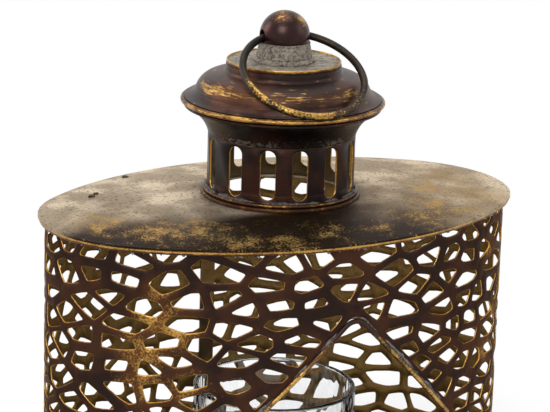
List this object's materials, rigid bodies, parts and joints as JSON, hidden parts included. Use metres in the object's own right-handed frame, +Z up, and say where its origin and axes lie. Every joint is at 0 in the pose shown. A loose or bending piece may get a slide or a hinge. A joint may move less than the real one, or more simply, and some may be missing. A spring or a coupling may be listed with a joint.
{
  "type": "candle lantern",
  "caption": "Oval pierced-tin candle lantern with a gabled window, low domed roof, slotted gallery, flared cap, ball finial, swinging carrying ring and a loose glass cylinder.",
  "frame": {"origin": "middle of the base, on the surface that the lantern stands on", "axes": "+Z up, +X along the oval's long way, to the right seen from the window side, -Y out of the window"},
  "size_m": [0.3046, 0.2012, 0.3491],
  "materials": {
    "bronzed_sheet": "antiqued bronze paint with rubbed gold edges",
    "bronzed_roof": "speckled bronze paint with gold patches",
    "bronzed_wire": "dark bronze with rubbed gold highlights",
    "solder": "rough grey with dark specks",
    "steel": "plain zinc",
    "clear_glass": "clear, fire-polished rim"
  },
  "bodies": {
    "lantern": {"floor_pan": "bronzed_sheet", "wall": "bronzed_sheet", "back_seam_strip": "bronzed_sheet", "window_frame": "bronzed_wire", "roof": "bronzed_roof", "roof_rim": "bronzed_sheet", "gallery_tube": "bronzed_sheet", "gallery_foot": "bronzed_sheet", "gallery_foot_bead": "bronzed_wire", "gallery_collar": "bronzed_sheet", "cap": "bronzed_sheet", "brim_bead": "bronzed_wire", "cap_disc": "solder", "finial_base": "solder", "finial_knob": "bronzed_wire", "finial_stud": "steel", "finial_washer": "steel", "finial_nut": "steel"},
    "ring": {"carrying_ring": "bronzed_wire"},
    "glass": {"glass_cylinder": "clear_glass"}
  },
  "joints": [
    {"name": "ring_swing", "type": "hinge", "parent": "lantern", "child": "ring", "pos_m": [0, 0, 0.3338], "axis": [-0.9954, 0.0958, 0], "range_deg": [0, 120.4]},
    {"name": "glass_out", "type": "slide", "parent": "lantern", "child": "glass", "axis": [0, -0.9833, 0.1822], "range_m": [0, 0.17]}
  ]
}
